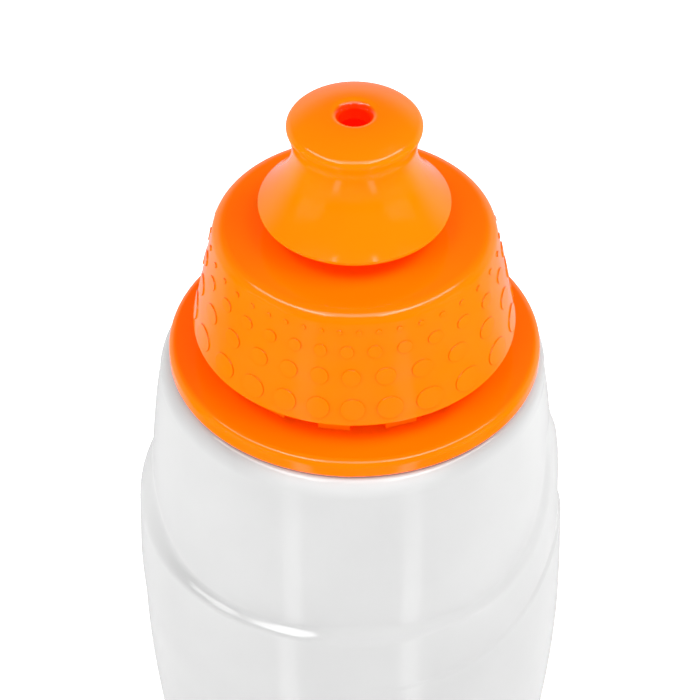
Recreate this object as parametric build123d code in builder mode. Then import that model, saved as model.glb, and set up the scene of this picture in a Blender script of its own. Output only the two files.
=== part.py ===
"""Sports water bottle with a push-pull drinking cap.

The bottle stands on its base at z = 0, centred on the Z axis, with its front towards -Y.
SEAT_Z is the shoulder that the cap comes down on. Outlines are (radius, height above the seat).
"""
from build123d import *
from math import atan, cos, degrees, pi, sin
import os

os.makedirs("parts", exist_ok=True)

# ---------------------------------------------------------------- driving dimensions, mm
SEAT_Z = 165.0
WALL = 1.1              # blow-moulded wall
GAP = 0.3               # clearance between parts that move apart
RUN = 0.1               # radial clearance of a running fit

# bottle
BARREL_R = 37.0         # lower barrel, the part that a bottle cage holds
BARREL_HIGH = 38.0      # top of its straight stretch
BARREL_SHIFT = 0.55     # the upper barrel stands this far to -X
WAIST_R, WAIST_Z = 33.0, 58.0
BASE_ROUND = 5.0
PUNT_R, PUNT_DEPTH = 25.0, 2.5
NECK_R, NECK_BORE_R, NECK_TOP = 19.8, 18.4, 15.8
SHOULDER_R = 30.5
LEDGE_ROUND = 0.8
THREAD_PITCH, THREAD_TURNS, THREAD_DEPTH, THREAD_LOW = 4.0, 1.5, 0.9, 5.0

# cap base and dome
FLANGE_R, FLANGE_H = 31.75, 3.3
SKIRT_R, SKIRT_BORE_R = 22.6, 20.9
RIB_R, RIB_DEPTH, RIB_WIDTH, RIB_COUNT, RIB_START = 23.6, 0.8, 5.3, 13, -98.3
PLATE_LOW, PLATE_HIGH = 17.4, 19.4
DOME_LOW, DOME_LOW_R = 7.6, 27.52
DECK_H, DECK_R = 28.5, 23.5
DOME_WALL, DOME_ROUND = 1.4, 2.3
COLLAR_R, COLLAR_BORE_R = 12.6, 11.2

# dots on the dome: (height above the seat, dots in a turn, diameter)
DOT_ROWS = [(25.3, 39, 0.95), (21.7, 28, 2.5), (16.9, 24, 3.5), (10.9, 23, 4.5)]
DOT_RELIEF = 0.2
DOT_FRONT = -13.0       # azimuth where the dots stand closest, degrees
DOT_SPREAD = 0.11       # how far their pitch grows towards the sides, radians

# valve
TRAVEL = 3.6            # the nozzle's way from open down to closed
SLEEVE_R, SLEEVE_LOW = 9.5, 32.8
POST_R, POST_BORE_R, POST_TOP = 7.95, 6.0, 44.4
POST_FLANGE_R, POST_FLANGE_LOW, POST_FLANGE_HIGH = 10.5, 20.2, 21.8
SPIGOT_R, SPIGOT_BORE_R = 7.0, 5.2
GROOVE_R, GROOVE_HIGH = 7.5, 34.9
GROOVE_LOW = SLEEVE_LOW - TRAVEL - GAP
PIN_R, PIN_LOW, PIN_STRAIGHT, PIN_TOP = 2.5, 39.6, 46.2, 46.8
SPOKE_W, SPOKE_LOW, SPOKE_HIGH, SPOKE_COUNT, SPOKE_START = 1.6, 40.2, 42.4, 3, 90
SEAL_R, SEAL_WIRE, SEAL_GROOVE_R, SEAL_GROOVE_W = 7.4, 0.6, 6.78, 1.5
SEAL_HEIGHTS = (37.8, 41.8)
NOZZLE_BORE_R = POST_R + RUN
NOZZLE_HOLE_R = PIN_R + RUN


def at(radius, height):
    """A point of an outline, on the XZ plane."""
    return (radius, SEAT_Z + height)


def ring(inner, outer, low, high):
    """A plain ring or disc about the Z axis, as corners of its section."""
    return [at(inner, low), at(outer, low), at(outer, high), at(inner, high)]


def turned(corners):
    """The solid made by turning a straight-sided section about Z."""
    with BuildPart() as solid:
        with BuildSketch(Plane.XZ):
            with BuildLine():
                Polyline(corners, close=True)
            make_face()
        revolve(axis=Axis.Z)
    return solid.part


# ---------------------------------------------------------------- bottle
PANEL_LINE = [(33.2, -4.2), (34.0, -10.0), (34.9, -20.0), (35.4, -30.0), (35.4, -50.0)]
UPPER_LINE = [(33.3, -8.0), (34.6, -12.0), (35.9, -17.0), (36.8, -24.0), (37.15, -34.0), (37.4, -46.0),
              (37.15, -59.0), (36.0, -75.0), (34.2, -92.0), (WAIST_R, WAIST_Z - SEAT_Z)]


def bottle_core(inset):
    """Neck, shoulder and the smooth panels; inset takes it in by the wall for the inside."""
    neck_r = NECK_BORE_R if inset else NECK_R
    neck_top = NECK_TOP + inset
    shoulder = -GAP - inset
    line = [at(r - inset, h) for r, h in PANEL_LINE]
    foot = line[-1][1]
    with BuildPart() as core:
        with BuildSketch(Plane.XZ):
            with BuildLine():
                Polyline((0, foot), (0, SEAT_Z + neck_top), at(neck_r, neck_top),
                         at(neck_r, shoulder), at(SHOULDER_R - inset, shoulder))
                TangentArc(at(SHOULDER_R - inset, shoulder), line[0], tangent=(1, 0))
                Spline(*line)
                Line(line[-1], (0, foot))
            make_face()
        revolve(axis=Axis.Z)
    return core.part


def barrel_form(inset):
    """The wide body below the ledges, from just under the shoulder to the waist."""
    line = [at(r - inset, h) for r, h in UPPER_LINE]
    with BuildPart() as barrel:
        with BuildSketch(Plane.XZ):
            with BuildLine():
                Line((0, line[0][1]), line[0])
                Spline(*line)
                Polyline(line[-1], (0, line[-1][1]), (0, line[0][1]))
            make_face()
        revolve(axis=Axis.Z)
    return barrel.part


def below_ledge(floor, side, corner, top, turn):
    """All that lies under a U-shaped ledge, seen from the front and cut through to the back."""
    reach, lean = 60.0, 3.5
    with BuildPart() as region:
        with BuildSketch(Plane.XZ.rotated((0, 0, turn))):
            with BuildLine():
                FilletPolyline(at(-side - lean, top), at(-side, floor), at(side, floor),
                               at(side + lean, top), radius=corner)
                Polyline(at(side + lean, top), at(reach, top), (reach, 0), (-reach, 0),
                         at(-reach, top), at(-side - lean, top))
            make_face()
        extrude(amount=reach, both=True)
    return region.part


def lower_form(inset):
    """Waist, cage barrel and base."""
    r = BARREL_R - inset
    waist = (WAIST_R - inset, WAIST_Z)
    with BuildPart() as lower:
        with BuildSketch(Plane.XZ):
            with BuildLine():
                Line((0, WAIST_Z), waist)
                Spline(waist, (r, BARREL_HIGH), tangents=((0, -1), (0, -1)))
                Line((r, BARREL_HIGH), (r, BASE_ROUND + inset))
                TangentArc((r, BASE_ROUND + inset), (r - BASE_ROUND, inset), tangent=(0, -1))
                Polyline((r - BASE_ROUND, inset), (0, inset), (0, WAIST_Z))
            make_face()
        revolve(axis=Axis.Z)
    return lower.part


def ledged_barrel(inset, floor, side, corner, top, turn, shift):
    """A barrel cut off along its ledge, with the ledge's outer edge rounded."""
    barrel = barrel_form(inset)
    region = below_ledge(floor - inset, side, corner, top, turn)
    with BuildPart() as part:
        with Locations((-shift, 0, 0)):
            add(barrel)
        add(region, mode=Mode.INTERSECT)
        if shift and not inset:
            fillet(edges().filter_by(GeomType.BSPLINE), LEDGE_ROUND)
    return part.part


def bottle_form(inset):
    """The bottle's outside, or, with an inset, its inside."""
    pieces = [bottle_core(inset), lower_form(inset),
              ledged_barrel(inset, -33.2, 36.0, 9.5, -6.0, -6, BARREL_SHIFT),
              ledged_barrel(inset, -46.0, 34.5, 13.0, -14.0, -4, 0.0)]
    with BuildPart() as form:
        for piece in pieces:
            add(piece)
    return form.part


outside, inside = bottle_form(0.0), bottle_form(WALL)
punt = turned([(0, -1), (PUNT_R + 1.5, -1), (PUNT_R, 0), (PUNT_R - 4, PUNT_DEPTH), (0, PUNT_DEPTH)])
punt_inside = turned([(0, 0), (PUNT_R + 2, 0), (PUNT_R + 2, WALL), (PUNT_R - 3, PUNT_DEPTH + WALL),
                      (0, PUNT_DEPTH + WALL)])

helix = Helix(THREAD_PITCH, THREAD_PITCH * THREAD_TURNS, NECK_R - 0.3, center=(0, 0, SEAT_Z + THREAD_LOW))
with BuildPart() as thread:
    with BuildSketch(Plane(origin=helix @ 0, x_dir=(1, 0, 0), z_dir=helix % 0)):
        with BuildLine():
            Polyline((0, -1.3), (0.3 + THREAD_DEPTH, -0.5), (0.3 + THREAD_DEPTH, 0.5), (0, 1.3), close=True)
        make_face()
    sweep(path=helix, is_frenet=True)

with BuildPart() as bottle_body:
    add(outside)
    add(inside, mode=Mode.SUBTRACT)
    add(punt_inside)
    add(punt, mode=Mode.SUBTRACT)
    add(thread.part)

# ---------------------------------------------------------------- cap
with BuildPart() as cap_base:
    with BuildSketch(Plane.XZ):
        with BuildLine():
            Polyline(at(SKIRT_BORE_R, 0), at(FLANGE_R, 0), at(FLANGE_R, FLANGE_H), at(SKIRT_R, FLANGE_H),
                     at(SKIRT_R, PLATE_HIGH), at(SPIGOT_R + RUN, PLATE_HIGH), at(SPIGOT_R + RUN, PLATE_LOW),
                     at(SKIRT_BORE_R, PLATE_LOW), close=True)
        make_face()
    revolve(axis=Axis.Z)
    rim = edges().filter_by(GeomType.CIRCLE).filter_by(lambda e: abs(e.radius - FLANGE_R) < 0.01)
    fillet(rim.sort_by(Axis.Z)[-1], 1.3)
    fillet(edges().filter_by(GeomType.CIRCLE).filter_by(lambda e: abs(e.radius - FLANGE_R) < 0.01)
           .sort_by(Axis.Z)[0], 0.6)
    with Locations((0, 0, SEAT_Z + FLANGE_H - 0.2)):
        with PolarLocations(RIB_R - RIB_DEPTH, RIB_COUNT, start_angle=RIB_START):
            Box(2 * RIB_DEPTH, RIB_WIDTH, PLATE_HIGH - FLANGE_H - 0.6,
                align=(Align.CENTER, Align.CENTER, Align.MIN))

cap_gasket = turned(ring(NECK_BORE_R + 0.2, SKIRT_BORE_R - RUN, NECK_TOP + RUN, PLATE_LOW - RUN))

# the dome: a hollow cone with a flat deck, and a collar inside that stands on the base's plate
slope = (DOME_LOW_R - DECK_R) / (DECK_H - DOME_LOW)
ceiling = DECK_H - DOME_WALL


def dome_radius(height):
    """The dome's outer radius at a height above the seat."""
    return DOME_LOW_R - slope * (height - DOME_LOW)


with BuildPart() as dome_shell:
    with BuildSketch(Plane.XZ):
        with BuildLine():
            Polyline(at(DOME_LOW_R - DOME_WALL, DOME_LOW), at(DOME_LOW_R, DOME_LOW), at(DECK_R, DECK_H),
                     at(NOZZLE_BORE_R, DECK_H), at(NOZZLE_BORE_R, ceiling), at(COLLAR_BORE_R, ceiling),
                     at(COLLAR_BORE_R, PLATE_HIGH), at(COLLAR_R, PLATE_HIGH), at(COLLAR_R, ceiling),
                     at(dome_radius(ceiling) - DOME_WALL, ceiling), close=True)
        make_face()
    revolve(axis=Axis.Z)
    deck_edge = edges().filter_by(GeomType.CIRCLE).filter_by(lambda e: abs(e.radius - DECK_R) < 0.01)
    fillet(deck_edge, DOME_ROUND)
    low_edges = edges().filter_by(GeomType.CIRCLE).group_by(Axis.Z)[0]
    fillet(low_edges.filter_by(lambda e: abs(e.radius - DOME_LOW_R) < 0.01), 0.4)

# the dots: short cylinders square to the dome, trimmed to a thin band over its surface
band = turned([at(dome_radius(h) + offset, h) for h, offset in
               ((DOME_LOW + 1, -0.3), (DOME_LOW + 1, DOT_RELIEF), (DECK_H - 2, DOT_RELIEF), (DECK_H - 2, -0.3))])
lean = degrees(atan(slope))
dot_sites = []
for row_height, count, diameter in DOT_ROWS:
    for index in range(count):
        angle = 2 * pi * index / count
        azimuth = DOT_FRONT + degrees(angle - DOT_SPREAD * sin(2 * angle)) - 90
        stretch = 1 - 2 * DOT_SPREAD * cos(2 * angle)
        site = Plane.XY.rotated((0, 90 - lean, azimuth), ordering=Extrinsic.XYZ)
        site.origin = Vector(dome_radius(row_height), 0, SEAT_Z + row_height).rotate(Axis.Z, azimuth)
        dot_sites.append((site, diameter / 2, stretch))

with BuildPart() as dots:
    for site, radius, stretch in dot_sites:
        with BuildSketch(site):
            Ellipse(radius * 0.9, radius * stretch * 1.1)
        extrude(amount=1, both=True)
    add(band, mode=Mode.INTERSECT)

with BuildPart() as cap_dome:
    add(dome_shell.part)
    add(dots.part)

# ---------------------------------------------------------------- valve
with BuildPart() as valve_post:
    with BuildSketch(Plane.XZ):
        with BuildLine():
            Polyline(at(SPIGOT_BORE_R, PLATE_LOW), at(SPIGOT_R, PLATE_LOW), at(SPIGOT_R, POST_FLANGE_LOW),
                     at(POST_FLANGE_R, POST_FLANGE_LOW), at(POST_FLANGE_R, POST_FLANGE_HIGH),
                     at(POST_R, POST_FLANGE_HIGH), at(POST_R, GROOVE_LOW), at(GROOVE_R, GROOVE_LOW),
                     at(GROOVE_R, GROOVE_HIGH), at(POST_R, GROOVE_HIGH), at(POST_R, POST_TOP),
                     at(POST_BORE_R, POST_TOP), at(POST_BORE_R, POST_FLANGE_HIGH),
                     at(SPIGOT_BORE_R, POST_FLANGE_LOW), close=True)
        make_face()
        for height in SEAL_HEIGHTS:
            with Locations(at(POST_R, height)):
                Rectangle(2 * (POST_R - SEAL_GROOVE_R), SEAL_GROOVE_W, mode=Mode.SUBTRACT)
    revolve(axis=Axis.Z)
    # the pin that stops the drinking hole, on three spokes
    with BuildSketch(Plane.XZ):
        with BuildLine():
            Polyline(at(0, PIN_LOW), at(PIN_R, PIN_LOW), at(PIN_R, PIN_STRAIGHT), at(PIN_R * 0.55, PIN_TOP),
                     at(0, PIN_TOP), close=True)
        make_face()
    revolve(axis=Axis.Z)
    with Locations((0, 0, SEAT_Z + SPOKE_LOW)):
        with PolarLocations((PIN_R + POST_BORE_R) / 2, SPOKE_COUNT, start_angle=SPOKE_START):
            Box(POST_BORE_R - PIN_R + 1, SPOKE_W, SPOKE_HIGH - SPOKE_LOW,
                align=(Align.CENTER, Align.CENTER, Align.MIN))

post_washer = turned(ring(SPIGOT_R + RUN, POST_FLANGE_R, PLATE_HIGH + RUN, POST_FLANGE_LOW - RUN))

seals = {}
for name, height in zip(("nozzle_seal_lower", "nozzle_seal_upper"), SEAL_HEIGHTS):
    with BuildPart(Plane.XY.offset(SEAT_Z + height)) as seal:
        Torus(SEAL_R, SEAL_WIRE)
    seals[name] = seal.part

# the nozzle, drawn open: a trumpet skirt and a sleeve under a domed head
SKIRT_LINE = [(16.02, 33.3), (14.35, 35.1), (12.85, 37.1), (11.65, 39.1), (10.8, 41.2), (10.35, 43.4),
              (10.4, 45.6), (10.85, 47.7)]
INSIDE_LINE = [(14.75, 32.8), (13.1, 34.8), (11.75, 36.8), (10.9, 38.2)]
HEAD_R, HEAD_EDGE, HEAD_TOP = 11.2, 49.2, 51.7
HOLE_RIM_R, LIP_LOW = 3.7, 48.4
BEAD_R = GROOVE_R + RUN

with BuildPart() as nozzle:
    with BuildSketch(Plane.XZ):
        with BuildLine():
            skirt = Spline(*[at(*p) for p in SKIRT_LINE])
            rim = Spline(skirt @ 1, at(HEAD_R, HEAD_EDGE), at(10.2, 50.15), tangents=(skirt % 1, (-2.4, 1)))
            dome = ThreePointArc(rim @ 1, at(7.4, 51.2), at(4.3, HEAD_TOP - 0.02))
            lip = ThreePointArc(dome @ 1, at(HOLE_RIM_R - 0.45, 51.4), at(NOZZLE_HOLE_R, 50.5))
            Polyline(lip @ 1, at(NOZZLE_HOLE_R, LIP_LOW), at(NOZZLE_BORE_R, LIP_LOW),
                     at(NOZZLE_BORE_R, GROOVE_HIGH - GAP), at(BEAD_R, GROOVE_HIGH - GAP - 0.45),
                     at(BEAD_R, SLEEVE_LOW + 0.3), at(BEAD_R + 0.3, SLEEVE_LOW), at(SLEEVE_R, SLEEVE_LOW),
                     at(SLEEVE_R, 38.0), at(9.9, 38.6), at(10.5, 38.6), at(*INSIDE_LINE[-1]))
            inner = Spline(*[at(*p) for p in reversed(INSIDE_LINE)])
            foot = Line(inner @ 1, at(14.95, 32.55))
            ThreePointArc(foot @ 1, at(15.75, 32.5), skirt @ 0)
        make_face()
    revolve(axis=Axis.Z)

# ---------------------------------------------------------------- hand out the pieces
pieces = {
    "bottle_body": bottle_body.part,
    "cap_gasket": cap_gasket,
    "cap_base": cap_base.part,
    "cap_dome": cap_dome.part,
    "post_washer": post_washer,
    "valve_post": valve_post.part,
    **seals,
    "nozzle": nozzle.part,
}
for name, piece in pieces.items():
    piece.label = name
    export_step(piece, f"parts/{name}.step")
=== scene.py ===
"""Looks of the sports water bottle: materials, a finer bottle body, and the studio."""
from math import cos, pi, radians, sin

import bpy
import numpy as np
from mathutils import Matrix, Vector


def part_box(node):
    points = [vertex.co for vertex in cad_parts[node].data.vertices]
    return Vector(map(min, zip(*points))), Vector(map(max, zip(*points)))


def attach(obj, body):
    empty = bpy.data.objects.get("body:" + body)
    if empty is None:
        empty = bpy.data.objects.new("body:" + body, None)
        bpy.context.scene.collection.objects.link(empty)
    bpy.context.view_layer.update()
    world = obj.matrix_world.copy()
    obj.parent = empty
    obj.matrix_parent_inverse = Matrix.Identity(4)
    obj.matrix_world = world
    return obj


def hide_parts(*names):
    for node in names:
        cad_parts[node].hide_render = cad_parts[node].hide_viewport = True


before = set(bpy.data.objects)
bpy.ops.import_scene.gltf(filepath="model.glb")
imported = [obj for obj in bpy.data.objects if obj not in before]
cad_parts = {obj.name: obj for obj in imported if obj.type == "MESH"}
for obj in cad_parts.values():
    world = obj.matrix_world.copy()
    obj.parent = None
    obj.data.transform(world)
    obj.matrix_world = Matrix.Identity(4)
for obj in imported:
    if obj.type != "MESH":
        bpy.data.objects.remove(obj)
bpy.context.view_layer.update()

# ---------------------------------------------------------------- sizes
MM = 0.001
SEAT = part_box("cap_base")[0].z          # underside of the cap's flange, metres
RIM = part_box("bottle_body")[1].z        # top of the neck, metres
GROUND = -SEAT / MM                     # mm; heights in mm are from the seat, unless it says otherwise
WALL = 1.1                              # mm, of the body
AROUND = 384                            # mesh columns round the body

# outlines of the body, (radius, height), mm; LOWER's heights are from the ground
PANEL = [(33.2, -4.2), (34.0, -10.0), (34.9, -20.0), (35.3, -28.0), (35.4, -34.0), (35.4, -50.0)]
UPPER = [(33.3, -8.0), (34.6, -12.0), (35.4, -15.0), (36.1, -18.0), (36.65, -21.5), (36.95, -25.0),
         (37.1, -32.0), (37.25, -38.0), (37.4, -46.0), (37.45, -50.0), (37.4, -57.0), (37.1, -64.0),
         (36.5, -72.0), (35.65, -80.0), (34.2, -92.0), (33.3, -101.0), (33.0, -107.0)]
LOWER = [(33.0, 58.0), (33.7, 52.0), (35.6, 45.5), (36.8, 40.0), (37.0, 36.0), (37.0, 5.0)]
PANEL_END, UPPER_END = -48.0, -107.0    # mm, where the panels and the upper outline stop

# heights of the ledges, (degrees from their crest at the bottle's side, mm)
LEDGE_RIGHT = [(0, -12.0), (6, -14.5), (11, -20.0), (17, -25.5), (28, -30.4), (40, -32.8), (60, -33.4),
               (90, -33.2)]
LEDGE_LEFT = [(0, -28.0), (10, -28.4), (18, -29.4), (28, -31.2), (40, -32.8), (60, -33.4), (90, -33.2)]
FOLD = [(0, -36.5), (6, -36.8), (15, -38.0), (24, -40.2), (34, -42.3), (46, -44.2), (62, -45.6), (90, -46.2)]
LEDGE_TURN, FOLD_TURN = -6.0, -4.0      # degrees about Z
LEDGE_WIDTH, FOLD_WIDTH = 1.9, 1.3      # mm, how far each step is rounded
LEDGE_FRONT = (3.0, 5.0, 13.0)          # mm wider round an azimuth at the front, and its half-angle, degrees
BEVEL, BEVEL_SPAN = 1.33, (-38.0, -11.0)  # mm, a straight bevel on the ledge between two azimuths, degrees
BEVEL_FADE = 8.0                        # degrees over which the bevel comes and goes
CREST_SOFT = (10.0, 4.0)                # mm, how much wider the step gets at the left and right crest
CREST_SPAN = 52.0                       # degrees from the crest where that begins
BARREL_SHIFT = 0.6                      # mm, the barrel over the fold leans this far to -X
BARREL_FADE = (-58.0, 16.0)             # mm, the height where that begins, and how far up it is full
BODY_SHIFT = 0.4                        # mm, the body under the shoulder stands this far to -X
BODY_FADE = ((-0.3, 4.0), (-125.0, 30.0))  # mm, where that begins and how far on it is full, top and bottom


# ---------------------------------------------------------------- body
def curve_through(points, samples):
    """A smooth monotone curve (x of y) through a few points, sampled at the heights given."""
    pts = sorted(points, key=lambda p: p[1])
    y = np.array([p[1] for p in pts], float)
    x = np.array([p[0] for p in pts], float)
    step = np.diff(y)
    slope = np.diff(x) / step
    tangent = np.zeros_like(x)
    same_way = slope[:-1] * slope[1:] > 0
    harmonic = 2 * slope[:-1] * slope[1:] / np.where(same_way, slope[:-1] + slope[1:], 1)
    tangent[1:-1] = np.where(same_way, harmonic, 0)
    tangent[0], tangent[-1] = slope[0], slope[-1]
    i = np.clip(np.searchsorted(y, samples) - 1, 0, len(step) - 1)
    t = np.clip((samples - y[i]) / step[i], 0, 1)
    h00, h10 = 2 * t**3 - 3 * t**2 + 1, t**3 - 2 * t**2 + t
    h01, h11 = -2 * t**3 + 3 * t**2, t**3 - t**2
    return h00 * x[i] + h10 * step[i] * tangent[i] + h01 * x[i + 1] + h11 * step[i] * tangent[i + 1]


def outline_radius(outline, height):
    """The radius of an outline at a height, held at the outline's ends."""
    heights = [h for _, h in outline]
    return curve_through(outline, np.clip(height, min(heights), max(heights)))


def smooth_step(x):
    """A smooth rise from 0 to 1."""
    t = np.clip(x, 0, 1)
    return t * t * t * (t * (6 * t - 15) + 10)


def straight_step(x):
    """A straight rise from 0 to 1 with slightly rounded ends."""
    rounding = 0.004
    return (np.sqrt(x ** 2 + rounding) - np.sqrt((x - 1) ** 2 + rounding) + 1) / 2


def from_crest(turn, azimuth):
    """Angle from a ledge's nearer crest, which is at the bottle's side, degrees."""
    return np.abs(np.degrees(np.arcsin(np.cos(np.radians(azimuth - turn)))))


def crest_height(line, turn, azimuth):
    """Height of a ledge: lowest at the front and back, with a crest at the side."""
    return curve_through([(h, a) for a, h in line], from_crest(turn, azimuth))


def barrel_radius(azimuth, height):
    """The body under the ledge. Over the fold it leans to the left, so that the fold shows at the right."""
    upper = outline_radius(UPPER, height)
    begin, rise = BARREL_FADE
    barrel = upper - BARREL_SHIFT * np.sin(np.radians(azimuth)) * smooth_step((height - begin) / rise)
    fold = crest_height(FOLD, FOLD_TURN, azimuth)
    under_fold = smooth_step((fold - height) / FOLD_WIDTH + 0.5)
    return barrel + np.maximum(upper - barrel, 0) * under_fold


def ledge_step(azimuth, height):
    """How far a place is past the ledge, from 0 on the panel to 1 on the barrel."""
    right = np.sin(np.radians(azimuth)) > 0
    ledge = np.where(right, crest_height(LEDGE_RIGHT, LEDGE_TURN, azimuth),
                     crest_height(LEDGE_LEFT, LEDGE_TURN, azimuth))
    turned = (azimuth + 180) % 360 - 180
    wider, middle, half_angle = LEDGE_FRONT
    width = LEDGE_WIDTH + wider * np.exp(-((turned - middle) / half_angle) ** 2)
    softer = smooth_step(1 - from_crest(LEDGE_TURN, azimuth) / CREST_SPAN)
    width = width + np.where(right, CREST_SOFT[1], CREST_SOFT[0]) * softer
    rounded = smooth_step((ledge - height) / width + 0.5)
    begin, end = BEVEL_SPAN
    bevelled = smooth_step((turned - begin) / BEVEL_FADE) * smooth_step((end - turned) / BEVEL_FADE)
    return rounded + bevelled * (straight_step((ledge - height) / BEVEL + 0.5) - rounded)


def body_radius(azimuth, height):
    """Outside radius of the body in mm, for an azimuth in degrees and a height from the seat in mm."""
    panel = outline_radius(PANEL, height)
    lower = outline_radius(LOWER, height - GROUND)
    barrel = barrel_radius(azimuth, height)
    ledged = panel + np.maximum(barrel - panel, 0) * ledge_step(azimuth, height)
    shaped = np.where(height < PANEL_END, barrel, ledged)
    return np.where(height < UPPER_END, lower, shaped)


THREAD_LOW, THREAD_PITCH, THREAD_TURNS, THREAD_DEPTH = 5.0, 4.0, 1.5, 0.9
THREAD_START = 90                       # degrees, azimuth of its lower end
THREAD_HALF, THREAD_FLANK = 1.3, 0.8    # mm, half its width, and the width of each flank
THREAD_TAPER = 8                        # each end fades over one part in so many of a turn


def thread_height(azimuth, height):
    """How far the screw thread stands out of the neck, mm."""
    tall = np.zeros_like(height + azimuth)
    for lap in range(3):
        along = (azimuth - THREAD_START) / 360 % 1 + lap
        centre = THREAD_LOW + THREAD_PITCH * along
        inside = (along <= THREAD_TURNS) & (along >= 0)
        taper = smooth_step(along * THREAD_TAPER) * smooth_step((THREAD_TURNS - along) * THREAD_TAPER)
        bump = smooth_step((THREAD_HALF - np.abs(height - centre)) / THREAD_FLANK)
        tall = np.maximum(tall, np.where(inside, THREAD_DEPTH * bump * taper, 0))
    return tall


# (radius, height from the ground), mm: the base's recess and foot from the middle out, and its inside
BASE_OUTSIDE = [(0.01, 2.5), (12, 2.5), (20, 2.4), (22.5, 1.9), (24.5, 0.7), (26, 0.1), (28, 0), (31.5, 0)]
BASE_INSIDE = [(27, 1.1), (25.4, 1.4), (23.4, 3.0), (21, 3.6), (10, 3.6), (0.01, 3.6)]
HEEL_R, HEEL_ROUND = 32, 5              # mm, centre and radius of the heel's round
HEEL_IN_R, HEEL_IN_HEIGHT = 30.9, 6.1   # mm, centre of its inside
# heights of the rows, (from, to, step), mm: closest where the ledges are
WALL_OUTSIDE = [(GROUND + 7, UPPER_END, 2.0), (UPPER_END, -62, 1.5), (-62, -8, 0.33), (-8, -4.3, 0.9)]
WALL_INSIDE = [(-6, -62, -0.8), (-62, GROUND + 8, -2.5)]
SHOULDER_R, SHOULDER_TOP = 30.5, -0.3   # mm, where the shoulder turns flat
SHOULDER_EDGE_R, SHOULDER_DROP = 33.2, 3.9  # mm, where it meets the panels, and how far down
SHOULDER_BULGE = (0.9, 1.05)            # powers that make the quarter round fuller
SHOULDER_FLAT = (27, 23, 21.2)          # mm, radii on the flat, up to the neck's foot
FOOT_R, FOOT_ROUND = 21.2, 1.4          # mm, the round at the neck's foot
NECK_R, NECK_ROWS = 19.8, (1.3, 15.2, 0.18)
LIP_R, LIP_ROUND = 19.1, 0.7            # mm, the round rim
BORE_R, BORE_HEIGHTS = 18.4, (10, 4, 0, -1.0)
BORE_ROUND_R, BORE_ROUND_DROP = 1.0, 0.4  # mm, the round at the bore's lower end
CEILING, CEILING_R = -1.4, (22, 26, 29.4)  # mm, underside of the shoulder
CEILING_ROUND = (29.4, 2.7, 3.4)        # mm, where its round begins, its reach and its drop


def body_rows():
    """The body's section as rows of (radius, height) in mm from the seat, each as long as AROUND."""
    azimuth = np.arange(AROUND) * 360 / AROUND
    rows = []

    def flat(radius, height):
        rows.append((np.full(AROUND, float(radius)), np.full(AROUND, float(height))))

    def wall(steps, inset):
        for h in np.concatenate([np.arange(*step) for step in steps]):
            height = np.full(AROUND, float(h))
            rows.append((body_radius(azimuth, height + inset) - inset, height))

    def arc(start, end, count):
        return np.linspace(start, end, count) * pi / 2

    # outside, from the middle of the base up
    for r, h in BASE_OUTSIDE:
        flat(r, GROUND + h)
    for a in arc(0.15, 1, 8):
        flat(HEEL_R + HEEL_ROUND * sin(a), GROUND + HEEL_ROUND - HEEL_ROUND * cos(a))
    wall(WALL_OUTSIDE, 0)
    across, down = SHOULDER_BULGE
    for a in arc(0, 1, 12):
        flat(SHOULDER_R + (SHOULDER_EDGE_R - SHOULDER_R) * cos(a) ** across,
             SHOULDER_TOP - SHOULDER_DROP * (1 - sin(a)) ** down)
    for r in SHOULDER_FLAT:
        flat(r, SHOULDER_TOP)
    for a in arc(0.1, 1, 4):
        flat(FOOT_R - FOOT_ROUND * sin(a), SHOULDER_TOP + FOOT_ROUND * (1 - cos(a)))
    for h in np.arange(*NECK_ROWS):
        height = np.full(AROUND, h)
        rows.append((NECK_R + thread_height(azimuth, height), height))
    top = RIM / MM + GROUND
    for a in arc(0, 2, 6):
        flat(LIP_R + LIP_ROUND * cos(a), top - LIP_ROUND + LIP_ROUND * sin(a))
    # inside, from the neck's bore down
    for h in BORE_HEIGHTS:
        flat(BORE_R, h)
    for a in arc(0.2, 1, 4):
        flat(BORE_R + BORE_ROUND_R * (1 - cos(a)), BORE_HEIGHTS[-1] - BORE_ROUND_DROP * sin(a))
    for r in CEILING_R:
        flat(r, CEILING)
    begin, reach, drop = CEILING_ROUND
    for a in arc(0.15, 1, 6):
        flat(begin + reach * sin(a), CEILING - drop * (1 - cos(a)))
    wall(WALL_INSIDE, WALL)
    for a in arc(0, 1, 6):
        flat(HEEL_IN_R + HEEL_ROUND * cos(a), GROUND + HEEL_IN_HEIGHT - HEEL_ROUND * sin(a))
    for r, h in BASE_INSIDE:
        flat(r, GROUND + h)
    return rows


def make_body():
    """The blow-moulded body as one closed skin, inside and out."""
    rows = body_rows()
    azimuth = np.radians(np.arange(AROUND) * 360 / AROUND)
    (top, top_rise), (bottom, bottom_rise) = BODY_FADE
    co = []
    for radius, height in rows:
        fade = smooth_step((top - height) / top_rise) * smooth_step((height - bottom) / bottom_rise)
        ring = np.stack([radius * np.sin(azimuth) - BODY_SHIFT * fade, -radius * np.cos(azimuth), height], 1)
        co.append(ring * MM + (0, 0, SEAT))
    co = np.concatenate(co)
    k = np.arange(AROUND)
    nxt = (k + 1) % AROUND
    faces = []
    for r in range(len(rows) - 1):
        a, b = r * AROUND, (r + 1) * AROUND
        faces.append(np.stack([a + k, a + nxt, b + nxt, b + k], 1))
    faces = np.concatenate(faces)
    mesh = bpy.data.meshes.new("bottle_skin")
    caps = [list(reversed(range(AROUND))), list(range((len(rows) - 1) * AROUND, len(rows) * AROUND))]
    mesh.from_pydata(co.tolist(), [], faces.tolist() + caps)
    mesh.shade_smooth()
    body = bpy.data.objects.new("bottle_skin", mesh)
    bpy.context.scene.collection.objects.link(body)
    return body


# ---------------------------------------------------------------- materials
RANGE_SOCKETS = ("From Min", "From Max", "To Min", "To Max")
NOISE_MIDDLE = (0.3, 0.7)               # most of a noise's values lie between these


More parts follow.
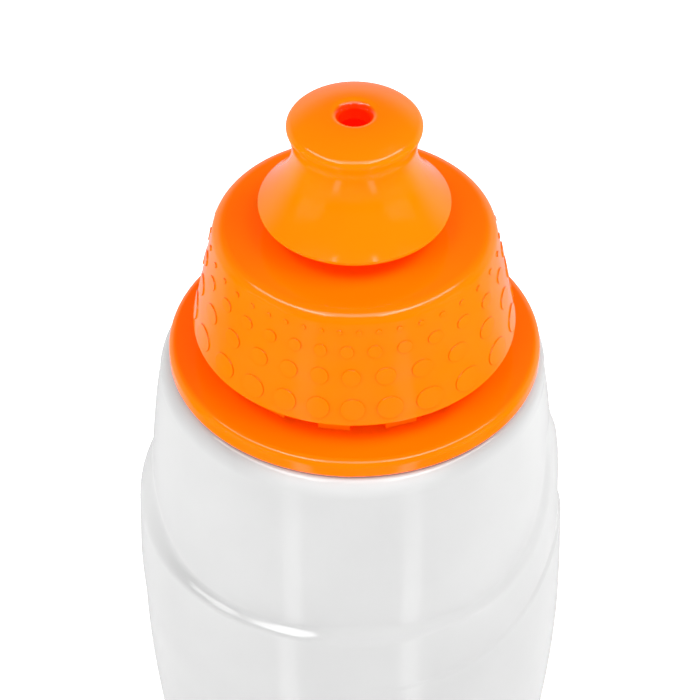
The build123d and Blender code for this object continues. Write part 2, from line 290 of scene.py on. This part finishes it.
def new_material(name):
    material = bpy.data.materials.new(name)
    material.use_nodes = True
    tree = material.node_tree
    return material, tree.nodes, tree.links, tree.nodes["Principled BSDF"]


def mapped(nodes, links, value, from_low, from_high, to_low, to_high):
    """A value mapped from one range to another, and held at its ends."""
    node = nodes.new("ShaderNodeMapRange")
    for name, level in zip(RANGE_SOCKETS, (from_low, from_high, to_low, to_high)):
        node.inputs[name].default_value = level
    links.new(value, node.inputs["Value"])
    return node.outputs["Result"]


def noise(nodes, links, scale, detail, stretch=(1, 1, 1)):
    """Noise in the object's own coordinates, scale in waves per metre."""
    coords = nodes.new("ShaderNodeTexCoord")
    mapping = nodes.new("ShaderNodeMapping")
    mapping.inputs["Scale"].default_value = stretch
    texture = nodes.new("ShaderNodeTexNoise")
    texture.inputs["Scale"].default_value = scale
    texture.inputs["Detail"].default_value = detail
    links.new(coords.outputs["Object"], mapping.inputs["Vector"])
    links.new(mapping.outputs["Vector"], texture.inputs["Vector"])
    return texture.outputs["Fac"]


def spread(nodes, links, value, low, high):
    """A noise value, about its middle, mapped to the range from low to high."""
    return mapped(nodes, links, value, *NOISE_MIDDLE, low, high)


def mixed(nodes, links, value, colour_a, colour_b):
    node = nodes.new("ShaderNodeMix")
    node.data_type = "RGBA"
    node.inputs["A"].default_value = (*colour_a, 1)
    node.inputs["B"].default_value = (*colour_b, 1)
    links.new(value, node.inputs["Factor"])
    return node.outputs["Result"]


def bumped(nodes, links, shader, layers, edge):
    """Adds bumps to a shader; layers are (height value, distance in metres, strength).

    Sharp edges are shaded as if they were rounded by the radius edge, in metres.
    """
    rounded = nodes.new("ShaderNodeBevel")
    rounded.samples = 6
    rounded.inputs["Radius"].default_value = edge
    normal = rounded.outputs["Normal"]
    for value, distance, strength in layers:
        bump = nodes.new("ShaderNodeBump")
        bump.inputs["Distance"].default_value = distance
        bump.inputs["Strength"].default_value = strength
        links.new(value, bump.inputs["Height"])
        links.new(normal, bump.inputs["Normal"])
        normal = bump.outputs["Normal"]
    links.new(normal, shader.inputs["Normal"])


# waves per metre, and detail, of the colour's drift, the smudges, the flow ripple and the orange peel
DRIFT, SMUDGE, FLOW, PEEL = (45, 2), (160, 4), (55, 1), (1400, 2)
SMUDGE_RANGE = (0.8, 1.25)              # times the roughness
FLOW_STRETCH = (1, 1, 0.35)             # longer up and down
FLOW_DEPTH, PEEL_DEPTH, PEEL_STRENGTH = 0.0008, 0.00004, 0.12
PLASTIC_IOR = 1.5


def moulded_plastic(name, colour, deep, roughness, ripple=0.05, edge=0.0001, sheen=0.0, glow=0.0):
    """Glossy moulded plastic: slow colour drift, uneven gloss, faint flow ripple and fine orange peel."""
    material, nodes, links, shader = new_material(name)
    drift = spread(nodes, links, noise(nodes, links, *DRIFT), 0, 1)
    links.new(mixed(nodes, links, drift, colour, deep), shader.inputs["Base Color"])
    duller, glossier = (roughness * part for part in reversed(SMUDGE_RANGE))
    smudge = spread(nodes, links, noise(nodes, links, *SMUDGE), glossier, duller)
    links.new(smudge, shader.inputs["Roughness"])
    flow = noise(nodes, links, *FLOW, FLOW_STRETCH)
    peel = noise(nodes, links, *PEEL)
    bumped(nodes, links, shader, [(flow, FLOW_DEPTH, ripple), (peel, PEEL_DEPTH, PEEL_STRENGTH)], edge)
    shader.inputs["IOR"].default_value = PLASTIC_IOR
    shader.inputs["Sheen Weight"].default_value = sheen
    shader.inputs["Emission Color"].default_value = (*colour, 1)
    shader.inputs["Emission Strength"].default_value = glow
    return material


def blended_over(material, factor, colour, mode):
    """Blends a colour over the material's own; factor and colour are values, or sockets of its nodes."""
    nodes, links = material.node_tree.nodes, material.node_tree.links
    socket = nodes["Principled BSDF"].inputs["Base Color"]
    blend = nodes.new("ShaderNodeMix")
    blend.data_type = "RGBA"
    blend.blend_type = mode
    links.new(socket.links[0].from_socket, blend.inputs["A"])
    for name, value in (("Factor", factor), ("B", colour)):
        if isinstance(value, bpy.types.NodeSocket):
            links.new(value, blend.inputs[name])
        else:
            blend.inputs[name].default_value = value
    links.new(blend.outputs["Result"], socket)


def object_place(nodes, links):
    """The object's own coordinates, as the sockets X, Y and Z."""
    coords = nodes.new("ShaderNodeTexCoord")
    split = nodes.new("ShaderNodeSeparateXYZ")
    links.new(coords.outputs["Object"], split.inputs["Vector"])
    return split.outputs


def painted_shade_by_height(material, tones):
    """Multiplies the colour by tones, (metres from the seat, tone): painted shade, a little darker towards
    the waist.
    """
    nodes, links = material.node_tree.nodes, material.node_tree.links
    low, high = tones[0][0], tones[-1][0]
    rise = mapped(nodes, links, object_place(nodes, links)["Z"], SEAT + low, SEAT + high, 0, 1)
    ramp = nodes.new("ShaderNodeValToRGB")
    stops = ramp.color_ramp.elements
    while len(stops) < len(tones):
        stops.new(0.5)
    for stop, (height, tone) in zip(stops, tones):
        stop.position = (height - low) / (high - low)
        stop.color = (tone, tone, tone, 1)
    links.new(rise, ramp.inputs["Fac"])
    blended_over(material, 1, ramp.outputs["Color"], "MULTIPLY")


def painted_highlight_and_shade_under_flange(material, low, high, tones):
    """Paints light and shade on the shoulder, just under the cap's flange: a painted highlight in the middle
    and painted shade from the flange at the sides.

    It does so between two heights from the seat; tones are (metres aside, metres aside, tone, tone).
    """
    nodes, links = material.node_tree.nodes, material.node_tree.links
    place = object_place(nodes, links)
    aside = nodes.new("ShaderNodeMath")
    aside.operation = "ABSOLUTE"
    links.new(place["X"], aside.inputs[0])
    tone = mapped(nodes, links, aside.outputs["Value"], *tones)
    near = mapped(nodes, links, place["Z"], SEAT + low, SEAT + high, 0, 1)
    blended_over(material, near, tone, "MULTIPLY")


def redder_inside(material, radius, fade, colour):
    """Paints the drinking hole red within a radius of the axis, for light that comes through the walls."""
    nodes, links = material.node_tree.nodes, material.node_tree.links
    place = nodes.new("ShaderNodeNewGeometry")
    flat = nodes.new("ShaderNodeVectorMath")
    flat.operation = "MULTIPLY"
    flat.inputs[1].default_value = (1, 1, 0)
    links.new(place.outputs["Position"], flat.inputs[0])
    length = nodes.new("ShaderNodeVectorMath")
    length.operation = "LENGTH"
    links.new(flat.outputs["Vector"], length.inputs[0])
    inside = mapped(nodes, links, length.outputs["Value"], radius, radius + fade, 1, 0)
    blended_over(material, inside, (*colour, 1), "MIX")


def grey(level):
    return (level, level, level)


# the valve's glow stands for the light that comes through the orange walls
orange = moulded_plastic("orange_plastic", (1.0, 0.140, 0.0), (1.0, 0.130, 0.0), roughness=0.1, edge=0.00015)
orange_nozzle = moulded_plastic("nozzle_plastic", (1.0, 0.153, 0.0), (1.0, 0.144, 0.0), roughness=0.1)
orange_valve = moulded_plastic("valve_plastic", (1.0, 0.01, 0.0), (0.97, 0.008, 0.0),
                               roughness=0.3, glow=0.45)
milky = moulded_plastic("bottle_plastic", grey(0.402), grey(0.379), roughness=0.09, ripple=0.10, sheen=0.25)
silicone = moulded_plastic("silicone", (0.75, 0.75, 0.72), (0.68, 0.68, 0.66), roughness=0.55)

FINISHES = {
    "cap_base": orange,
    "cap_dome": orange,
    "nozzle": orange_nozzle,
    "valve_post": orange_valve,
    "cap_gasket": silicone,
    "post_washer": silicone,
    "nozzle_seal_lower": silicone,
    "nozzle_seal_upper": silicone,
    "bottle_body": milky,
}
for node, material in FINISHES.items():
    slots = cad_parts[node].data.materials
    slots.clear()
    slots.append(material)

# tones painted to imitate the light and shade on the real bottle; metres, heights from the seat
HOLE_R, HOLE_FADE, HOLE_RED = 3.0 * MM, 0.5 * MM, (1.0, 0.03, 0.0)
# painted shade: the body's colour falls a little towards the waist
BODY_PAINTED_SHADE = [(-0.080, 0.93), (-0.045, 0.97), (-0.030, 1.0)]
# painted highlight in the middle of the shoulder and painted shade at its sides, under the flange
SHOULDER_LOW, SHOULDER_HIGH = -3.6 * MM, -1.2 * MM
SHOULDER_HIGHLIGHT_AND_SHADE = (0.011, 0.020, 1.14, 0.86)
redder_inside(orange_nozzle, HOLE_R, HOLE_FADE, HOLE_RED)
painted_shade_by_height(milky, BODY_PAINTED_SHADE)
painted_highlight_and_shade_under_flange(milky, SHOULDER_LOW, SHOULDER_HIGH, SHOULDER_HIGHLIGHT_AND_SHADE)

bottle_skin = make_body()
bottle_skin.data.materials.append(milky)
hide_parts("bottle_body")
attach(bottle_skin, "bottle")

# ---------------------------------------------------------------- studio
FLOOR_SIZE = 4.0
PAPER, PAPER_DARK, PAPER_GRAIN = grey(0.93), grey(0.91), (900, 3)
PAPER_ROUGHNESS, PAPER_SPECULAR, PAPER_GLOW = 0.9, 0.2, 0.5


def make_floor():
    """A plain pale floor, which also lights the bottle a little from below."""
    half = FLOOR_SIZE / 2
    corners = [(-half, -half, 0), (half, -half, 0), (half, half, 0), (-half, half, 0)]
    mesh = bpy.data.meshes.new("floor")
    mesh.from_pydata(corners, [], [(0, 1, 2, 3)])
    paper, nodes, links, shader = new_material("paper")
    grain = spread(nodes, links, noise(nodes, links, *PAPER_GRAIN), 0, 1)
    links.new(mixed(nodes, links, grain, PAPER, PAPER_DARK), shader.inputs["Base Color"])
    shader.inputs["Roughness"].default_value = PAPER_ROUGHNESS
    shader.inputs["Specular IOR Level"].default_value = PAPER_SPECULAR
    shader.inputs["Emission Color"].default_value = (1, 1, 1, 1)
    shader.inputs["Emission Strength"].default_value = PAPER_GLOW
    mesh.materials.append(paper)
    sheet = bpy.data.objects.new("floor", mesh)
    sheet.visible_glossy = False
    bpy.context.scene.collection.objects.link(sheet)
    return sheet


floor = make_floor()


def soft_light(name, place, target, size, power):
    """A rectangular studio light that looks at a point."""
    light = bpy.data.lights.new(name, "AREA")
    light.shape = "RECTANGLE"
    light.size, light.size_y = size
    light.energy = power
    lamp = bpy.data.objects.new(name, light)
    lamp.location = place
    lamp.rotation_euler = (Vector(target) - Vector(place)).to_track_quat("-Z", "Y").to_euler()
    lamp.visible_camera = False
    bpy.context.scene.collection.objects.link(lamp)
    return lamp


CAP_MIDDLE = 0.02                       # metres over the seat
CAP = Vector((0, 0, SEAT + CAP_MIDDLE))


def around(azimuth, elevation, distance):
    """A place seen from the cap at an azimuth (0 is the front) and an elevation in degrees."""
    a, e = radians(azimuth), radians(elevation)
    return CAP + distance * Vector((sin(a) * cos(e), -cos(a) * cos(e), sin(e)))


def panel_power(radiance, size):
    return radiance * pi * size[0] * size[1]


# two wide keys give the even, low light; what shines on the glossy edges are two boxes overhead
KEY_SIZE, FILL_SIZE, BOX_SIZE = (0.9, 0.45), (0.8, 0.6), (0.88, 0.16)  # metres
KEY_AZIMUTH, KEY_ELEVATION, KEY_DISTANCE = 66, 6, 1.2
FILL_ELEVATION, FILL_DISTANCE = 55, 1.1
BOX_AZIMUTH, BOX_ELEVATION, BOX_DISTANCE = 64, 58, 0.9
BOX_LIGHT = 5.0
# side, name, light of the key and of the fill, azimuth of the fill
SIDES = ((-1, "left", 12.2, 1.8, 60), (1, "right", 10.7, 4.8, 84))
for side, name, key_light, fill_light, fill_azimuth in SIDES:
    key_place = around(KEY_AZIMUTH * side, KEY_ELEVATION, KEY_DISTANCE)
    key = soft_light(name + "_key", key_place, CAP, KEY_SIZE, panel_power(key_light, KEY_SIZE))
    key.visible_glossy = False
    fill_place = around(fill_azimuth * side, FILL_ELEVATION, FILL_DISTANCE)
    fill = soft_light(name + "_fill", fill_place, CAP, FILL_SIZE, panel_power(fill_light, FILL_SIZE))
    fill.visible_glossy = False
    box_place = around(BOX_AZIMUTH * side, BOX_ELEVATION, BOX_DISTANCE)
    soft_light(name + "_box", box_place, CAP, BOX_SIZE, panel_power(BOX_LIGHT, BOX_SIZE))

world = bpy.data.worlds.new("studio")
world.use_nodes = True
sky = world.node_tree


def sky_ramp(value, low, high, to_low, to_high):
    """A value mapped smoothly between two levels."""
    result = mapped(sky.nodes, sky.links, value, low, high, to_low, to_high)
    result.node.interpolation_type = "SMOOTHSTEP"
    return result


def sky_math(operation, a, b=None):
    """One sum on two values, which may be numbers."""
    node = sky.nodes.new("ShaderNodeMath")
    node.operation = operation
    for socket, value in zip(node.inputs, (a, b)):
        if isinstance(value, (int, float)):
            socket.default_value = value
        elif value is not None:
            sky.links.new(value, socket)
    return node.outputs[0]


# the glossy parts mirror a bright backdrop behind, dimmer above, two soft upright strips low in front,
# and a card high in front; each comes or goes between two values of the direction's Y or Z
BACKDROP_LIGHT, BACKDROP_Y, BACKDROP_Z = 0.6, (0.1, 0.65), (0.2, 0.6)
ABOVE_LIGHT, ABOVE_Z = 0.05, (-0.05, 0.2)
STRIP_LIGHT, STRIP_Z = 1.2, (-0.6, -0.28)
STRIP_AZIMUTH, STRIP_INNER, STRIP_OUTER = radians(33), radians(2.6), radians(7.8)
CARD_LIGHT, CARD_Y, CARD_Z = 3.0, (-0.3, -0.1), (0.76, 0.86)
coords = sky.nodes.new("ShaderNodeTexCoord")
split = sky.nodes.new("ShaderNodeSeparateXYZ")
sky.links.new(coords.outputs["Generated"], split.inputs["Vector"])
x, y, z = split.outputs["X"], split.outputs["Y"], split.outputs["Z"]
backdrop = sky_math("MULTIPLY", sky_ramp(y, *BACKDROP_Y, 0, BACKDROP_LIGHT), sky_ramp(z, *BACKDROP_Z, 1, 0))
above = sky_ramp(z, *ABOVE_Z, 0, ABOVE_LIGHT)
from_front = sky_math("ABSOLUTE", sky_math("ARCTAN2", x, sky_math("MULTIPLY", y, -1)))
off_strip = sky_math("ABSOLUTE", sky_math("SUBTRACT", from_front, STRIP_AZIMUTH))
strip = sky_ramp(off_strip, STRIP_INNER, STRIP_OUTER, STRIP_LIGHT, 0)
strip = sky_math("MULTIPLY", strip, sky_ramp(z, *STRIP_Z, 1, 0))
card = sky_math("MULTIPLY", sky_ramp(z, *CARD_Z, 0, CARD_LIGHT), sky_ramp(y, *CARD_Y, 1, 0))
total = sky_math("ADD", sky_math("ADD", backdrop, above), sky_math("ADD", strip, card))
sky.links.new(total, sky.nodes["Background"].inputs["Strength"])
sky.nodes["Background"].inputs["Color"].default_value = (1, 1, 1, 1)
bpy.context.scene.world = world
bpy.context.scene.view_settings.view_transform = "Standard"

# the camera looks down at the middle of the flange, at a long focal length
LOOK_DOWN, DISTANCE = radians(41.9), 0.618
SENSOR, LENS, SHIFT = 36.0, 185.1, -0.0065
camera = bpy.data.objects.new("camera", bpy.data.cameras.new("camera"))
camera.data.sensor_width, camera.data.lens = SENSOR, LENS
camera.data.shift_x = SHIFT
camera.location = (0, -DISTANCE * cos(LOOK_DOWN), SEAT + DISTANCE * sin(LOOK_DOWN))
camera.rotation_euler = (pi / 2 - LOOK_DOWN, 0, 0)
bpy.context.scene.collection.objects.link(camera)
bpy.context.scene.camera = camera
